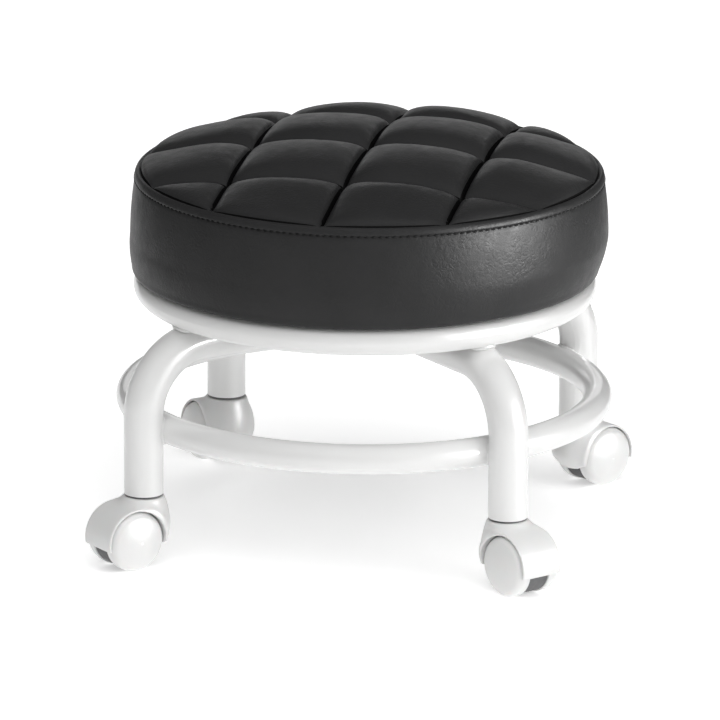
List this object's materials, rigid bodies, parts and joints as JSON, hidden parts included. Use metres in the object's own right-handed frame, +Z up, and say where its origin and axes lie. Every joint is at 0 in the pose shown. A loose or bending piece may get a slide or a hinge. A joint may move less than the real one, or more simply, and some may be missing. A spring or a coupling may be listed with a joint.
{
  "type": "rolling stylist stool",
  "caption": "Low round rolling stool: quilted black padded seat on a white welded tube frame with a foot ring and hooded twin-wheel swivel casters.",
  "frame": {"origin": "on the seat's vertical axis, at floor level under the wheels", "axes": "+Z up along the seat's axis; front is -Y; the legs stand on the diagonals, and the seat's quilting lines run along X and Y"},
  "size_m": [0.321, 0.321, 0.26],
  "materials": {
    "powder_coat": "gloss white powder coat",
    "black_leatherette": "fine grain, low sheen",
    "dust_cloth": "matt non-woven",
    "foam": "open cell",
    "plywood": "raw",
    "white_plastic": "satin moulded",
    "dark_plastic": "matt moulded",
    "zinc": "zinc plated"
  },
  "bodies": {
    "frame": {"leg_tube_long": "powder_coat", "leg_tube_front_right": "powder_coat", "leg_tube_back_left": "powder_coat", "foot_ring": "powder_coat", "seat_ring": "powder_coat", "seat_lug_front": "powder_coat", "seat_lug_right": "powder_coat", "seat_lug_back": "powder_coat", "seat_lug_left": "powder_coat", "seat_board": "plywood", "seat_foam": "foam", "seat_cover": "black_leatherette", "dust_cover": "dust_cloth", "seat_bolts": "zinc", "seat_washers": "zinc", "t_nuts": "zinc", "staples": "zinc", "grip_rings": "zinc", "stem_socket_front_left": "dark_plastic", "stem_socket_front_right": "dark_plastic", "stem_socket_back_right": "dark_plastic", "stem_socket_back_left": "dark_plastic", "caster_stem_front_left": "zinc", "caster_stem_front_right": "zinc", "caster_stem_back_right": "zinc", "caster_stem_back_left": "zinc"},
    "caster_front_left": {"caster_hood_front_left": "white_plastic", "caster_core_front_left": "dark_plastic", "caster_axle_front_left": "zinc"},
    "wheel_front_left_a": {"wheel_front_left_a": "white_plastic"},
    "wheel_front_left_b": {"wheel_front_left_b": "white_plastic"},
    "caster_front_right": {"caster_hood_front_right": "white_plastic", "caster_core_front_right": "dark_plastic", "caster_axle_front_right": "zinc"},
    "wheel_front_right_a": {"wheel_front_right_a": "white_plastic"},
    "wheel_front_right_b": {"wheel_front_right_b": "white_plastic"},
    "caster_back_right": {"caster_hood_back_right": "white_plastic", "caster_core_back_right": "dark_plastic", "caster_axle_back_right": "zinc"},
    "wheel_back_right_a": {"wheel_back_right_a": "white_plastic"},
    "wheel_back_right_b": {"wheel_back_right_b": "white_plastic"},
    "caster_back_left": {"caster_hood_back_left": "white_plastic", "caster_core_back_left": "dark_plastic", "caster_axle_back_left": "zinc"},
    "wheel_back_left_a": {"wheel_back_left_a": "white_plastic"},
    "wheel_back_left_b": {"wheel_back_left_b": "white_plastic"}
  },
  "joints": [
    {"name": "swivel_front_left", "type": "hinge", "parent": "frame", "child": "caster_front_left", "pos_m": [-0.11858, -0.11858, 0.046], "axis": [0, 0, 1], "continuous": true},
    {"name": "roll_front_left_a", "type": "hinge", "parent": "caster_front_left", "child": "wheel_front_left_a", "pos_m": [-0.12831, -0.12865, 0.0196], "axis": [0.7193, -0.6947, 0], "continuous": true},
    {"name": "roll_front_left_b", "type": "hinge", "parent": "caster_front_left", "child": "wheel_front_left_b", "pos_m": [-0.12831, -0.12865, 0.0196], "axis": [0.7193, -0.6947, 0], "continuous": true},
    {"name": "swivel_front_right", "type": "hinge", "parent": "frame", "child": "caster_front_right", "pos_m": [0.11858, -0.11858, 0.046], "axis": [0, 0, 1], "continuous": true},
    {"name": "roll_front_right_a", "type": "hinge", "parent": "caster_front_right", "child": "wheel_front_right_a", "pos_m": [0.12931, -0.12758, 0.0196], "axis": [0.6428, 0.766, 0], "continuous": true},
    {"name": "roll_front_right_b", "type": "hinge", "parent": "caster_front_right", "child": "wheel_front_right_b", "pos_m": [0.12931, -0.12758, 0.0196], "axis": [0.6428, 0.766, 0], "continuous": true},
    {"name": "swivel_back_right", "type": "hinge", "parent": "frame", "child": "caster_back_right", "pos_m": [0.11858, 0.11858, 0.046], "axis": [0, 0, 1], "continuous": true},
    {"name": "roll_back_right_a", "type": "hinge", "parent": "caster_back_right", "child": "wheel_back_right_a", "pos_m": [0.1272, 0.12961, 0.0196], "axis": [-0.788, 0.6157, 0], "continuous": true},
    {"name": "roll_back_right_b", "type": "hinge", "parent": "caster_back_right", "child": "wheel_back_right_b", "pos_m": [0.1272, 0.12961, 0.0196], "axis": [-0.788, 0.6157, 0], "continuous": true},
    {"name": "swivel_back_left", "type": "hinge", "parent": "frame", "child": "caster_back_left", "pos_m": [-0.11858, 0.11858, 0.046], "axis": [0, 0, 1], "continuous": true},
    {"name": "roll_back_left_a", "type": "hinge", "parent": "caster_back_left", "child": "wheel_back_left_a", "pos_m": [-0.12813, 0.12882, 0.0196], "axis": [-0.7314, -0.682, 0], "continuous": true},
    {"name": "roll_back_left_b", "type": "hinge", "parent": "caster_back_left", "child": "wheel_back_left_b", "pos_m": [-0.12813, 0.12882, 0.0196], "axis": [-0.7314, -0.682, 0], "continuous": true}
  ]
}
